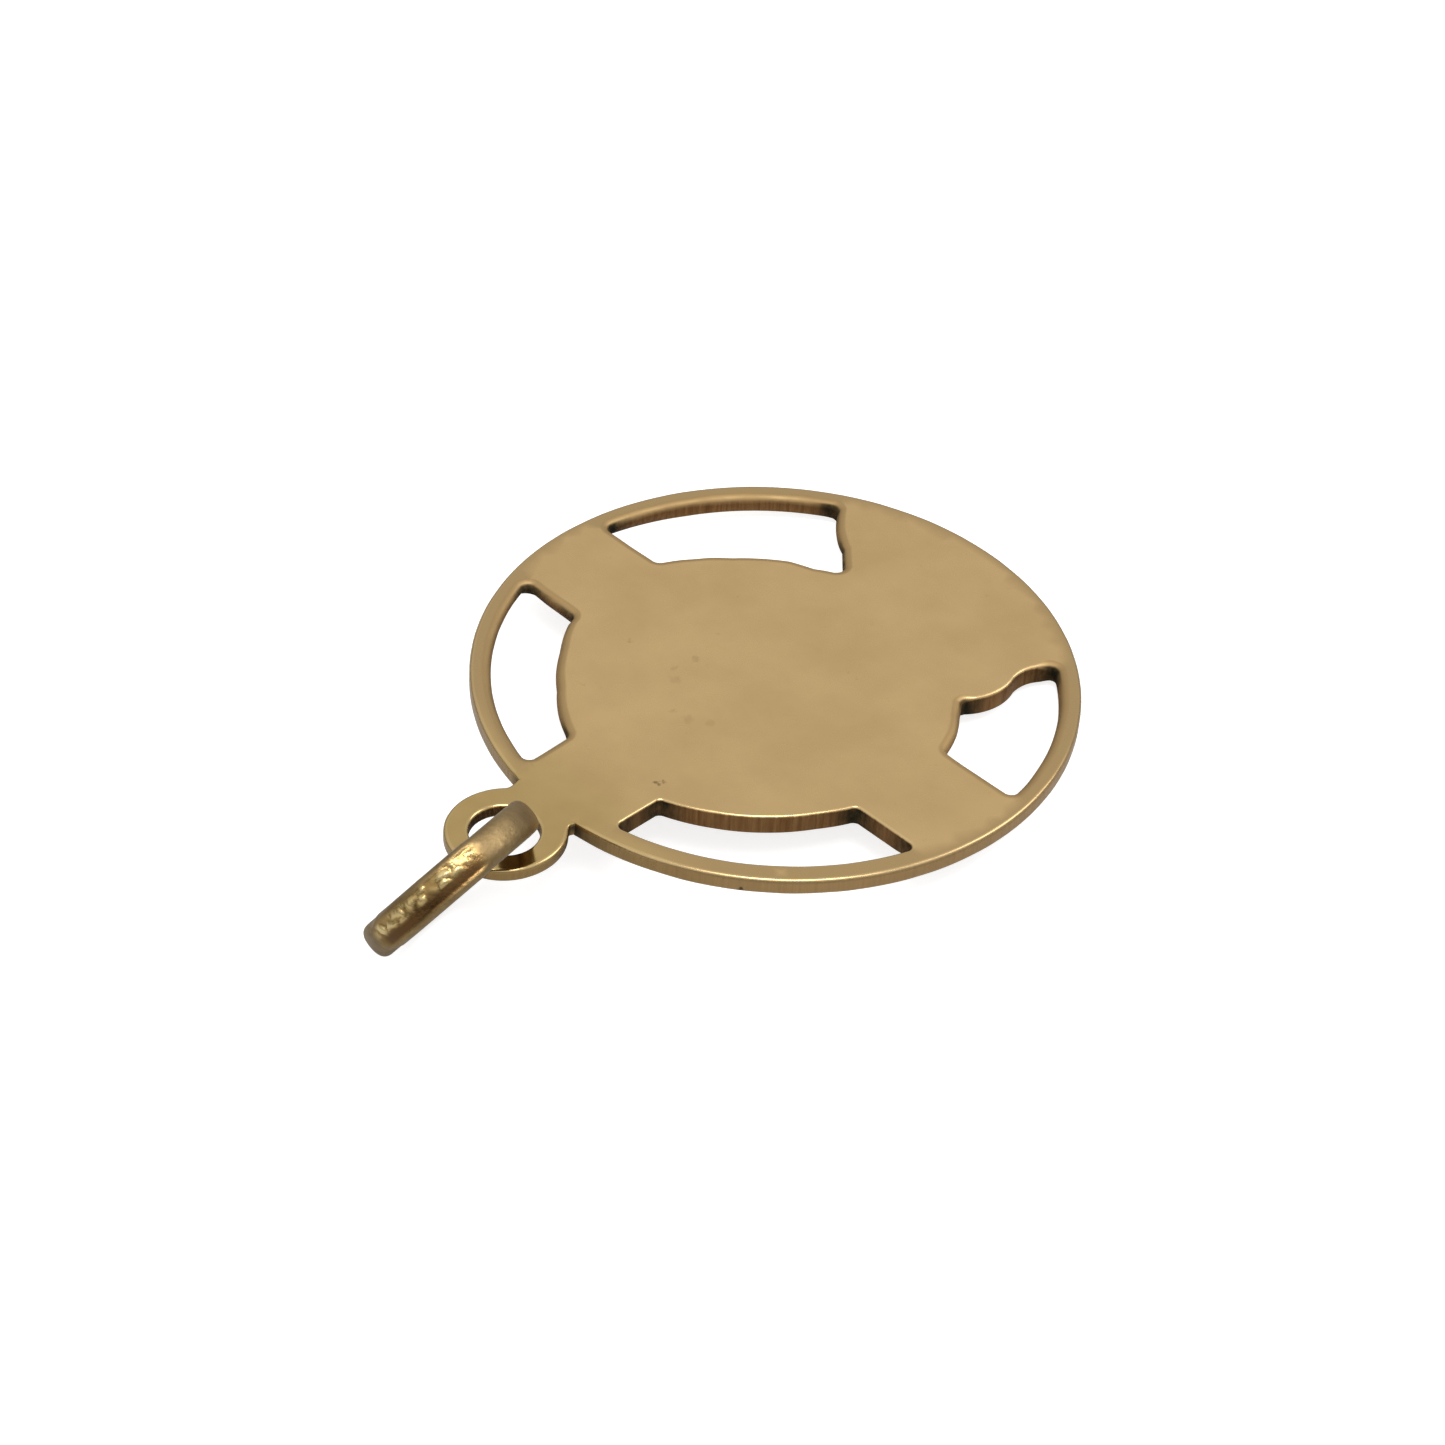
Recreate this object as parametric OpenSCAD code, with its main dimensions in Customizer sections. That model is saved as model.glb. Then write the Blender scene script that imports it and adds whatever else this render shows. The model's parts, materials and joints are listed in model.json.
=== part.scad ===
// Pierced disc pendant: a round token with four sawn windows, an eye
// soldered to its rim and a loose bail ring linked through the eye.
// Millimetres. The token's plain flat face looks up (+Z), the raised side
// stands on z = 0, the disc's axis is Z, and the eye points along -Y.

/* [Disc] */
// Outer diameter of the disc
disc_d = 25; // [18:0.5:40]
// Thickness of the medallion, the arms and the web
disc_t = 0.9; // [0.8:0.05:2]
// Thickness of the outer rim, flush with the flat face
rim_t = 0.75; // [0.4:0.05:0.75]
// Width of the outer rim, in plan
rim_w = 0.88; // [0.6:0.02:1.6]
// Rounding of the rim's and the eye's outer edges
edge_r = 0.15; // [0.05:0.01:0.18]

/* [Windows] */
// Mean clear width of the windows, from the medallion to the rim
window_w = 3.32; // [2.2:0.02:4.4]
// How far the medallion sits from the disc's centre, towards the eye
medallion_shift = 1.02; // [0:0.02:1.5]
// Width of each of the three arms
arm_w = 5.1; // [3:0.1:6]
// Turn of the two side arms about the medallion, in degrees
arm_turn = 1.2; // [-3:0.1:3]
// Rounding of the windows' corners
corner_r = 0.3; // [0.1:0.05:0.4]
// Radius of the web's evenly curved flank, on a disc of the drawn size
web_flank_r = 6.2; // [5:0.1:8]
// Radius of the swelling on the web's other flank, likewise
web_lobe_r = 2.5; // [2:0.1:2.8]
// Radius of the hollow that ends that flank at the rim, likewise
web_hollow_r = 1.72; // [1.4:0.02:2]

/* [Eye] */
// Width of the eye's metal round its hole
eye_wall = 1.07; // [0.6:0.01:1.3]
// Thickness of the eye, flush with the flat face
eye_t = 0.6; // [0.4:0.05:0.75]
// Play of the bail's band in the eye's hole, over the band's diagonal
hole_clear = 1.03; // [0.9:0.01:1.6]
// How far the eye's round runs in past the rim's edge, at the foot
eye_lap = 0.32; // [0.1:0.02:0.5]
// Width of the soldered foot between eye and rim
foot_w = 3.3; // [2.6:0.1:4]

/* [Bail] */
// Inner diameter of the bail's loop
bail_inner_d = 6.06; // [5.6:0.02:9]
// Width of the bail's band, along its own axis
bail_w = 1.46; // [1:0.02:2]
// Thickness of the bail's band, across
bail_t = 1; // [0.7:0.05:1.3]
// Lean of the bail from the upright, in degrees
bail_lean = 33.4; // [20:0.2:36]
// Turn of the bail about the vertical, in degrees
bail_turn = 10; // [0:1:14]
// Rise of the bail's free end above the disc's plane, in degrees
bail_rise = 6; // [-10:1:15]

/* [Hidden] */
$fn = 96;
disc_r = disc_d / 2;
rim_inner_r = disc_r - rim_w;
// Step from the rim's lower face down to the raised side, and its edge
relief_h = disc_t - rim_t;
relief_r = rim_inner_r - 0.02;
medallion_r = rim_inner_r - window_w;
medallion_c = [0, -medallion_shift];
// Side step of the arm that carries the eye
arm_dx = 0.05;
// The web is laid out inside a rim of this inner radius, and grows with it
drawn_r = 11.62;
web_k = rim_inner_r / drawn_r;
// Corner where the web's evenly curved flank starts, and the direction of the
// short straight edge that runs from it down to the medallion
knee = web_k * [-3.95, 7.95];
foot_dir = [cos(-45), sin(-45)];
// Directions from the knee to the flank's centre, and from lobe to hollow
web_flank_turn = 61.7;
web_bend_turn = 18.65;
flank_r = web_k * web_flank_r;
flank_c = knee + flank_r * [cos(web_flank_turn), sin(web_flank_turn)];
lobe_r = web_k * web_lobe_r;
lobe_c = web_k * [4.34, 6.25];
bend = [cos(web_bend_turn), sin(web_bend_turn)];
// Swelling and hollow cross by this much, so that their outlines meet cleanly
bend_lap = 0.01;
hollow_r = web_k * web_hollow_r;
hollow_c = lobe_c + (lobe_r + hollow_r - bend_lap) * bend;
// A fillet's arc runs a hair past its two sides, for the same reason
fillet_lap = 1.01;
// How far a fillet's corner reaches into the metal behind its sides
fillet_reach = 1.3 * corner_r;
eye_hole_d = norm([bail_w, bail_t]) + hole_clear;
eye_r = eye_hole_d / 2 + eye_wall;
eye_y = -(disc_r + eye_r - eye_lap);
eye_x = -0.08;
// The hole is drilled a little off the eye's centre
hole = [eye_x - 0.03, eye_y - 0.1, disc_t - eye_t / 2];
foot_x = -0.25;
// How far the foot stands out from the rim
foot_out = 0.3;
bail_mid_r = (bail_inner_d + bail_t) / 2;
// Where the band passes through the hole, from the hole's centre
bail_pass = [-0.08, 0.05, 0];
// Corner roundings of the bail's band, outside and inside the ring
bail_outer_r = 0.45;
bail_inner_r = 0.15;
// Cutters run this far past the faces they cut
over = 1;

gold = [0.76, 0.63, 0.42];
eye_gold = [0.74, 0.63, 0.41];
bail_gold = [0.68, 0.56, 0.37];

// Half profile of a flat round blank with rounded edges, standing on y = 0
module blank_profile(r, t) {
    square([r - edge_r, t]);
    translate([0, edge_r]) square([r, t - 2 * edge_r]);
    for (y = [edge_r, t - edge_r]) translate([r - edge_r, y]) circle(edge_r);
}

module blank(r, t) rotate_extrude() blank_profile(r, t);

// An arm from the medallion's centre out past the rim, along -Y
module arm() translate([-arm_w / 2, -disc_r]) square([arm_w, disc_r]);

// Bridge between the medallion and the rim on the side away from the eye:
// one flank is a single arc, the other swells and then hollows to the rim
module web() {
    difference() {
        polygon([[0, 0], knee + 3 * foot_dir, knee, flank_c, [0, disc_r + over],
                 hollow_c * 1.3, hollow_c, lobe_c + lobe_r * bend, lobe_c]);
        translate(hollow_c) circle(hollow_r);
    }
    translate(lobe_c) circle(lobe_r);
    translate(flank_c) circle(flank_r);
}

// What stays solid inside the rim
module figure() {
    translate(medallion_c) {
        circle(medallion_r);
        translate([-arm_dx, 0]) arm();
        for (side = [-90, 90]) rotate(side + arm_turn) arm();
    }
    web();
}

function unit(v) = v / norm(v);

// Point at distance a from p and b from q, left of the way from p to q
// for side 1 and right of it for side -1
function meet(p, a, q, b, side) =
    let (d = norm(q - p), u = (q - p) / d, t = (a * a - b * b + d * d) / (2 * d))
    p + t * u + side * sqrt(a * a - t * t) * [-u.y, u.x];

// Metal left in a window's corner, round the centre c of its fillet. The
// unit directions u and v run from c square to the corner's two sides.
module fillet(c, u, v) difference() {
    polygon([c, c + fillet_reach * u, c + fillet_reach * (u + v) / (1 + u * v),
             c + fillet_reach * v]);
    translate(c) circle(corner_r * fillet_lap);
}

// The four fillets beside an arm, drawn in the arm's own frame. The centres
// of the rim and of the medallion are given in that frame.
module arm_fillets(rim_c, disc_c) for (side = [-1, 1]) {
    x = side * (arm_w / 2 + corner_r);
    at_rim = [x, rim_c.y - sqrt(pow(rim_inner_r - corner_r, 2) - pow(x - rim_c.x, 2))];
    at_disc = [x, disc_c.y - sqrt(pow(medallion_r + corner_r, 2) - pow(x - disc_c.x, 2))];
    fillet(at_rim, [-side, 0], unit(at_rim - rim_c));
    fillet(at_disc, [-side, 0], unit(disc_c - at_disc));
}

// The fillets at the web's foot, flank, lobe and hollow
module web_fillets() {
    // Square to the foot's straight edge, towards the window
    out = [foot_dir.y, -foot_dir.x];
    way = knee + corner_r * out - medallion_c;
    along = -way * foot_dir - sqrt(pow(way * foot_dir, 2) - way * way
                                   + pow(medallion_r + corner_r, 2));
    at_foot = medallion_c + way + along * foot_dir;
    fillet(at_foot, -out, unit(medallion_c - at_foot));

    at_flank = meet([0, 0], rim_inner_r - corner_r, flank_c, flank_r + corner_r, 1);
    fillet(at_flank, unit(at_flank), unit(flank_c - at_flank));

    at_lobe = meet(medallion_c, medallion_r + corner_r, lobe_c, lobe_r + corner_r, -1);
    fillet(at_lobe, unit(medallion_c - at_lobe), unit(lobe_c - at_lobe));

    at_hollow = meet([0, 0], rim_inner_r - corner_r, hollow_c, hollow_r - corner_r, 1);
    fillet(at_hollow, unit(at_hollow), unit(at_hollow - hollow_c));
}

module windows() difference() {
    circle(rim_inner_r);
    figure();
    translate(medallion_c) {
        translate([-arm_dx, 0]) arm_fillets([arm_dx, medallion_shift], [arm_dx, 0]);
        for (turn = [-90 + arm_turn, 90 + arm_turn]) rotate(turn)
            arm_fillets(medallion_shift * [sin(turn), cos(turn)], [0, 0]);
    }
    web_fillets();
}

module disc() color(gold) difference() {
    union() {
        translate([0, 0, relief_h]) blank(disc_r, rim_t);
        cylinder(r = relief_r, h = disc_t - edge_r);
    }
    translate([0, 0, -over]) linear_extrude(disc_t + 2 * over) windows();
}

module eye() color(eye_gold) difference() {
    translate([0, 0, disc_t - eye_t]) union() {
        translate([eye_x, eye_y, 0]) blank(eye_r, eye_t);
        translate([foot_x - foot_w / 2, -disc_r - foot_out, 0]) cube([foot_w, 1, eye_t]);
    }
    translate([hole.x, hole.y, -over]) cylinder(d = eye_hole_d, h = disc_t + 2 * over);
    translate([0, 0, -over]) cylinder(r = disc_r, h = disc_t + 2 * over);
}

// Section of the bail's band, its outer face rounded at both shoulders
module bail_section() {
    half = bail_w / 2;
    translate([-bail_t / 2 + bail_inner_r, -half])
        square([bail_t - bail_inner_r - bail_outer_r, bail_w]);
    translate([-bail_t / 2, -half + bail_inner_r])
        square([bail_t - bail_outer_r, bail_w - 2 * bail_inner_r]);
    translate([0, -half + bail_outer_r])
        square([bail_t / 2, bail_w - 2 * bail_outer_r]);
    for (s = [-1, 1]) {
        translate([-bail_t / 2 + bail_inner_r, s * (half - bail_inner_r)]) circle(bail_inner_r);
        translate([bail_t / 2 - bail_outer_r, s * (half - bail_outer_r)]) circle(bail_outer_r);
    }
}

// The band passes down through the eye's hole
module bail() color(bail_gold)
    translate(hole + bail_pass) rotate([-bail_rise, bail_lean, bail_turn])
        translate([0, -bail_mid_r, 0]) rotate([0, 90, 0])
            rotate_extrude() translate([bail_mid_r, 0]) bail_section();

disc();
eye();
bail();
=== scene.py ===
import json
import math

import bmesh
import bpy
import numpy as np
from mathutils import Matrix, Vector, geometry, noise


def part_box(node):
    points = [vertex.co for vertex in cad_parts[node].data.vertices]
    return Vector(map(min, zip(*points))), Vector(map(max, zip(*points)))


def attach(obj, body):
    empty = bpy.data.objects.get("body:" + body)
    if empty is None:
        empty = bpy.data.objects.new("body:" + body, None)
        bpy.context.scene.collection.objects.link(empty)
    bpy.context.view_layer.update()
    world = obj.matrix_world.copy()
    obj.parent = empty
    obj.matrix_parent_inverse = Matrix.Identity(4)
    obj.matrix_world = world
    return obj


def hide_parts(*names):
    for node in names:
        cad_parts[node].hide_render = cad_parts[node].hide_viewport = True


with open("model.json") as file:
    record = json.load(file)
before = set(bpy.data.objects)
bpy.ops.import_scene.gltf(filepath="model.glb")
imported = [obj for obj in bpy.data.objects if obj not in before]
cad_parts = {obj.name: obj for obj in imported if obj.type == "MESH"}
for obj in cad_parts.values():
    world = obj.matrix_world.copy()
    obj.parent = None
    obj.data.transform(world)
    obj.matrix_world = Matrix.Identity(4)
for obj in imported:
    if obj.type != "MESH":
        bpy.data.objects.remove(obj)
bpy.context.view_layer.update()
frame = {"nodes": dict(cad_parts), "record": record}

# Pierced disc pendant: the disc, the eye soldered to its rim, and the bail
# ring that swings in the eye. Outlines are worked in millimetres and scaled
# to metres when a mesh is made.
MM = 1000.0

# ---------------------------------------------------------------- sizes, mm
DISC_EDGE = 0.15       # rounding of the disc's and the eye's outer edges
WINDOW_EDGE = 0.10     # rounding of the windows' upper edges where they are crisp
SOFT_EDGE = 0.32       # and where they are worn soft
LOWER_EDGE = 0.05      # rounding of the windows' lower edges
STEP_RUN = 0.6         # the underside's step dies away over this much at its ends
LEAN = 0.30            # how far the walls beside the left arm lean under at the foot
HAND_CUT = (           # how far the medallion strays out of its circle: degrees, mm
    (-180, 0.3), (-157.6, 0.25), (-146, 0), (-129, -0.1), (-119, 0.05), (-108.5, 0.19),
    (-90, 0.1), (-72, 0.03), (-57, -0.09), (-42, -0.14), (-28, -0.15), (-17, -0.03),
    (0, 0.1), (28, 0.1), (36, 0), (109, 0), (112, -0.06), (118, -0.2), (126, 0),
    (143, 0.02), (152, 0.18), (161, 0.39), (166, 0.5), (180, 0.5))
SLANT = 0.2            # the left arm's far edge is shifted this much along the medallion
SLANT_AT = (150, 16)   # from this angle on, growing over so many degrees
MEDALLION_R = 8.3      # the medallion's circle, and how far it sits towards the eye
MEDALLION_Y = -1.02
# Where wear and lean set in on the windows' walls, and over how much they
# grow, by distance from the centre or by place along X or Y
IN_FROM_RIM = (11.3, -0.5)
LOBED_FLANK = (4.4, 0.6)
LEFT_ARM = ((0, -6), (5, -6))
EVEN_FLANK = ((-8, 1.5), (5, 1.5))
RIGHT_OF_WEB = (4.6, -0.8)
LOBE_CRISP = 0.8       # how much of the softness the web's lobed flank lacks
RELIEF_INSET = 0.02    # step of the raised underside, in from the rim
RIM_WIDTH = 0.88
RIM_THICK = 0.75
NOTCH_REACH = 0.45     # the darkening beside the eye's foot spreads over about this much
CORNER_REACH = 0.95    # and the painted shade in a window's corner over this much
SUPPORT = 0.03         # flat border that keeps the broad faces' shading even
ROUND_STEPS = 5        # rows in each rounded edge
DISC_STEPS = 288       # points round the disc's edge
FACE_GRID = 0.6        # spacing of the points inside a broad face
FACE_WAVE = 0.004      # depth of the hand-finished face's unevenness
FOOT_MID = -0.25       # middle of the eye's soldered foot
FOOT_WIDTH = 3.3
FOOT_OUT = 0.3
SOLDER_REACH = 0.75    # the solder has rounded the outline this far about the foot
NECK_FROM, NECK_TO = -7.5, -15.0   # the eye's tone runs in over the disc's
EYE_SQUEEZE = 0.06     # how much flatter the eye's round is on its right side
MARKS = (              # small stains and pits: where, radius, and how dark
    ((1.79, -8.40, 0.9), 0.17, 0.6), ((1.95, -8.18, 0.9), 0.13, 0.45),
    ((-2.7, -1.9, 0.9), 0.28, 0.16), ((-2.3, -3.5, 0.9), 0.34, 0.12),
    ((-2.9, -3.0, 0.9), 0.22, 0.14), ((-0.2, -4.8, 0.9), 0.33, 0.12),
    ((0.6, -4.3, 0.9), 0.24, 0.10), ((-5.3, -3.2, 0.9), 0.16, 0.18),
    ((7.89, -9.70, 0.31), 0.17, 0.9))
MARK_SWAY = 0.5        # how uneven the marks' borders are
EYE_SPACING = 0.06     # spacing of the points along the eye's outline
EYE_GRID = 0.35        # and inside its faces
EYE_WAVE = 0.002
EYE_PLAY = 0.002       # the eye stays this much inside its box
HOLE_EDGE = 0.12       # rounding of the eye's hole
EYE_STEPS = 120        # points round that hole, and round the eye before they are spaced
BAND_PASS = 2.4        # the band passes the eye this far in from its outer edge
BAIL_LOOP_R = 3.03     # inner radius of the bail
BAIL_WIDTH = 1.46
BAIL_THICK = 1.0
BAIL_MIDDLE_R = BAIL_LOOP_R + BAIL_THICK / 2
BAIL_CROWN = 2.5       # 2 gives the band's outer side a plain oval, more a squarer one
BAIL_INNER_ROUND = 0.15
BAIL_STEPS = 560       # sections round the ring
BAIL_SPACING = 0.075   # spacing of the points round the band's section
BAIL_UNEVEN = 0.05     # how uneven the worn band is, and in how fine a pattern
BAIL_PATTERN = 420.0
STRUCK_FROM = math.radians(106)   # worn, struck stretch of the bail, measured
STRUCK_TO = math.radians(186)     # from the side that lies in the eye
STRUCK_HALF = 0.5      # half the width of that stretch
STRUCK_DEPTH = 0.14
STRUCK_SWELL = 0.035   # the struck band is this much wider,
STRUCK_PINCH = 0.11    # and this much narrower just past the stretch's end
BEAT_SWAY = 0.22       # the beaten lumps' borders sway by this much, in this pattern
BEAT_PATTERN = 2.3
BEAT_LUMPS = (1.9, 2.2)   # lumps to a millimetre, along the band and across it
WALL_ROW = 0.19        # depth of the row of points along the outer walls
OUTER_WALL = 0.45      # how far the outer walls have gone the colour of sawn ones, which is partly painted shade

# ---------------------------------------------------------------- colours
LIGHT_GOLD, DEEP_GOLD = (0.60, 0.415, 0.195), (0.54, 0.37, 0.17)
NECK_LIGHT, NECK_DEEP = (0.48, 0.34, 0.14), (0.41, 0.285, 0.11)
SPECK = (0.16, 0.10, 0.045)
# the rim is painted darker, as shade
RIM_SHADE = (0.44, 0.30, 0.14)
# soft edges are painted darker, as shade, in place of their highlight
SOFT_EDGE_SHADE = (0.37, 0.25, 0.115)
# walls: sawn and oxidised brown, darkened further as painted shade
SAWN_AND_SHADED_DARK, SAWN_AND_SHADED_LIGHT = (0.21, 0.10, 0.036), (0.36, 0.20, 0.08)
# painted highlight along the rounded edges
EDGE_HIGHLIGHT_PAINT = (0.74, 0.56, 0.30)
# dirt, and painted shade in corners and in the eye's hole
DIRT_AND_SHADE = (0.035, 0.033, 0.02)
STAIN = (0.07, 0.045, 0.022)
WIRE_LIGHT, WIRE_DARK = (0.34, 0.24, 0.115), (0.25, 0.17, 0.078)
SCUFFED = (0.15, 0.10, 0.05)
STRUCK_GOLD = (0.50, 0.33, 0.12)
# dirt in the bail's hollow, with painted shade on one side
HOLLOW_DIRT_AND_SHADE = (0.10, 0.045, 0.017)
POLISHED = (0.90, 0.72, 0.36)
WHITE = (1.0, 1.0, 1.0)

# ------------------------------------------------------ stage, metres, degrees
FLOOR_RADIUS = 0.9
FLOOR_GREY, FLOOR_GLOW = 0.5, 0.8   # how pale the floor is, and what makes it white
BAIL_SIDE, DISC_SIDE = -0.014, 0.008   # the pendant rests past these places along Y
SKY = ((0.0, 0.25), (0.12, 0.29), (0.42, 0.76), (0.75, 0.93), (1.0, 0.95))
SKY_WARMTH = 0.985
LAMPS = (              # name, azimuth, elevation, distance, size, power
    ("overhead", 60, 72, 0.5, 0.22, 1.0),
    ("side", 150, 45, 0.5, 0.25, 0.5))
VIEW_AZIMUTH, VIEW_ELEVATION, VIEW_ROLL = 43.196, 40.658, 3.958   # azimuth 0 is -Y
VIEW_DISTANCE = 0.155501
VIEW_AIM = (0.000859, -0.003896)
VIEW_LENS = 96.52      # on a sensor 36 mm wide


# ------------------------------------------------------------ plane outlines
def face_outlines(node):
    """Outlines of a CAD node's upper flat face, in millimetres, each anticlockwise."""
    bm = bmesh.new()
    bm.from_mesh(frame["nodes"][node].data)
    bmesh.ops.scale(bm, vec=(MM, MM, MM), verts=bm.verts)
    bmesh.ops.remove_doubles(bm, verts=bm.verts, dist=1e-4)
    bm.normal_update()
    top = max(v.co.z for v in bm.verts)

    def is_top(face):
        return face.normal.z > 0.999 and face.calc_center_median().z > top - 1e-3

    ways = {}
    for face in filter(is_top, bm.faces):
        for loop in face.loops:
            edge = loop.edge
            if sum(1 for f in edge.link_faces if is_top(f)) == 1:
                ways[loop.vert] = loop.link_loop_next.vert
    outlines = []
    while ways:
        vert = min(ways, key=lambda v: (round(v.co.x, 4), round(v.co.y, 4)))
        points = []
        while vert in ways:
            points.append((vert.co.x, vert.co.y))
            vert = ways.pop(vert)
        points = np.array(points)
        outlines.append(points if area(points) > 0 else points[::-1])
    bm.free()
    return sorted(outlines, key=lambda p: -abs(area(p)))


def area(points):
    """Area inside an outline, negative for a clockwise one."""
    x, y = points[:, 0], points[:, 1]
    return 0.5 * float(np.sum(x * np.roll(y, -1) - y * np.roll(x, -1)))


def turns(points):
    """Angle by which an outline turns at each of its points."""
    way = np.roll(points, -1, 0) - points
    back = np.roll(way, 1, 0)
    cross = back[:, 0] * way[:, 1] - back[:, 1] * way[:, 0]
    return np.arctan2(cross, (back * way).sum(1))


def finer(points, sharp=math.radians(14)):
    """Halves an outline's steps twice, with the new points on its arcs."""
    for _ in range(2):
        turn = turns(points)
        way = np.roll(points, -1, 0) - points
        length = np.hypot(way[:, 0], way[:, 1])
        made = []
        for i, point in enumerate(points):
            j = (i + 1) % len(points)
            near = [t for t, other in ((turn[i], length[i - 1]), (turn[j], length[j]))
                    if abs(t) < sharp and 0.55 < other / length[i] < 1.8]
            bow = 0.5 * length[i] * math.tan(sum(near) / len(near) / 4) if near else 0.0
            side = np.array([way[i][1], -way[i][0]]) / length[i]
            made += [point, point + way[i] / 2 + side * bow]
        points = np.array(made)
    return points


def outward(points):
    """Mitred step out of an anticlockwise outline, one for each point."""
    way = np.roll(points, -1, 0) - points
    way = way / np.hypot(way[:, 0], way[:, 1])[:, None]
    side = np.stack([way[:, 1], -way[:, 0]], 1)
    both = side + np.roll(side, 1, 0)
    both = both / np.hypot(both[:, 0], both[:, 1])[:, None]
    spread = np.clip((both * side).sum(1), 0.6, 1)
    return both / spread[:, None]


def circle(centre, radius, steps):
    """A round outline."""
    angle = np.arange(steps) * 2 * math.pi / steps
    return np.array(centre) + radius * np.stack([np.cos(angle), np.sin(angle)], 1)


def ramp(values, start, run):
    """0 at start and 1 at start + run, level beyond both."""
    return np.clip((values - start) / run, 0, 1)


def smooth(t):
    """0 to 1, eased at both ends."""
    t = min(1.0, max(0.0, t))
    return t * t * (3 - 2 * t)


def gap_to(points, others):
    """Distance of each point from the nearest of the others."""
    return np.sqrt(((points[:, None] - others[None]) ** 2).sum(2)).min(1)


def from_corners(points):
    """Distance of each point of an outline from its nearest tight corner."""
    turn = np.abs(turns(points))
    way = np.roll(points, -1, 0) - points
    bend = turn / np.maximum(np.hypot(way[:, 0], way[:, 1]), 1e-6)
    tight = (bend > 1.5) & (turn > math.radians(1.5)) | (turn > math.radians(25))
    return gap_to(points, points[tight])


# ------------------------------------------------------------------- shells
class Shell:
    """A closed mesh built in rows, with wear noted at its points."""

    def __init__(self):
        self.bm = bmesh.new()
        names = ("wall", "edge", "grime", "dull", "soft")
        self.layers = {n: self.bm.verts.layers.float.new(n) for n in names}
        self.found = {}

    def point(self, x, y, z, **wear):
        """The point at a place, made if it is new, with its wear noted."""
        key = (round(x, 4), round(y, 4), round(z, 4))
        vert = self.found.get(key)
        if vert is None:
            vert = self.found[key] = self.bm.verts.new((x, y, z))
        return self.note(vert, **wear)

    def note(self, vert, **wear):
        """Notes wear at a point, where it is more than noted before."""
        for name, value in wear.items():
            vert[self.layers[name]] = max(vert[self.layers[name]], value)
        return vert

    def face(self, *verts):
        """A face, unless two of its corners are one or it is there already."""
        kept = [v for i, v in enumerate(verts) if v is not verts[i - 1]]
        if len(set(kept)) > 2 and not self.bm.faces.get(kept):
            self.bm.faces.new(kept)

    def ribbon(self, rows, closed=True):
        """Faces between rows of points."""
        for above, below in zip(rows, rows[1:]):
            count = len(above) if closed else len(above) - 1
            for i in range(count):
                j = (i + 1) % len(above)
                self.face(above[i], below[i], below[j], above[j])

    def plane(self, outer, holes, z, grid=None, wave=0.0):
        """A broad face with holes, filled between its border points."""
        loops = [[(v.co.x, v.co.y) for v in loop] for loop in [outer, *holes]]
        flat = np.array(sum(loops, []))
        edges, start = [], 0
        for loop in loops:
            edges += [(start + i, start + (i + 1) % len(loop)) for i in range(len(loop))]
            start += len(loop)
        verts = [v for loop in [outer, *holes] for v in loop]
        inner = inside_points(loops, grid) if grid else []
        for x, y in inner:
            drop = wave * (0.5 + 0.5 * noise.noise(Vector((x / 2.6, y / 2.6, 3.1 + z))))
            verts.append(self.point(x, y, z - drop))
        places = [Vector(p) for p in flat] + [Vector(p) for p in inner]
        made = geometry.delaunay_2d_cdt(places, edges, [], 1, 1e-6)
        tris = np.array([[made[3][i][0] for i in tri] for tri in made[2]])
        middles = np.array([(v.co.x, v.co.y) for v in verts])[tris].mean(1)
        kept = inside(middles, loops[0])
        for hole in loops[1:]:
            kept &= ~inside(middles, hole)
        for tri in tris[kept]:
            self.face(*[verts[i] for i in tri])

    def mesh(self, name):
        """The finished mesh, in metres, smooth but for its sharp edges."""
        bmesh.ops.scale(self.bm, vec=(1 / MM,) * 3, verts=self.bm.verts)
        bmesh.ops.recalc_face_normals(self.bm, faces=self.bm.faces)
        data = bpy.data.meshes.new(name)
        self.bm.to_mesh(data)
        self.bm.free()
        data.polygons.foreach_set("use_smooth", [True] * len(data.polygons))
        data.set_sharp_from_angle(angle=math.radians(38))
        return data


def inside(points, loop):
    """Which points lie inside a closed loop."""
    path = np.array(loop)
    within = np.zeros(len(points), bool)
    for (ax, ay), (bx, by) in zip(path, np.roll(path, -1, 0)):
        if ay != by:
            spans = (ay > points[:, 1]) != (by > points[:, 1])
            at = ax + (points[:, 1] - ay) * (bx - ax) / (by - ay)
            within ^= spans & (points[:, 0] < at)
    return within


def inside_points(loops, grid):
    """Evenly staggered points inside the first loop and clear of the others."""
    low, high = np.min(loops[0], 0), np.max(loops[0], 0)
    rows = enumerate(np.arange(low[1], high[1], grid * 0.866))
    places = np.array([(x, y) for row, y in rows
                       for x in np.arange(low[0] + row % 2 * grid / 2, high[0], grid)])
    keep = inside(places, loops[0])
    for hole in loops[1:]:
        keep &= ~inside(places, hole)
    for loop in loops:
        keep &= gap_to(places, np.array(loop)) > grid * 0.45
    return [tuple(p) for p in places[keep]]


def lively(x, y, size, share=0.16):
    """A width that varies by this share along an edge finished by hand."""
    return size * (1 + share * noise.noise(Vector((x * 0.9, y * 0.9, size * 40))))


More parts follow.
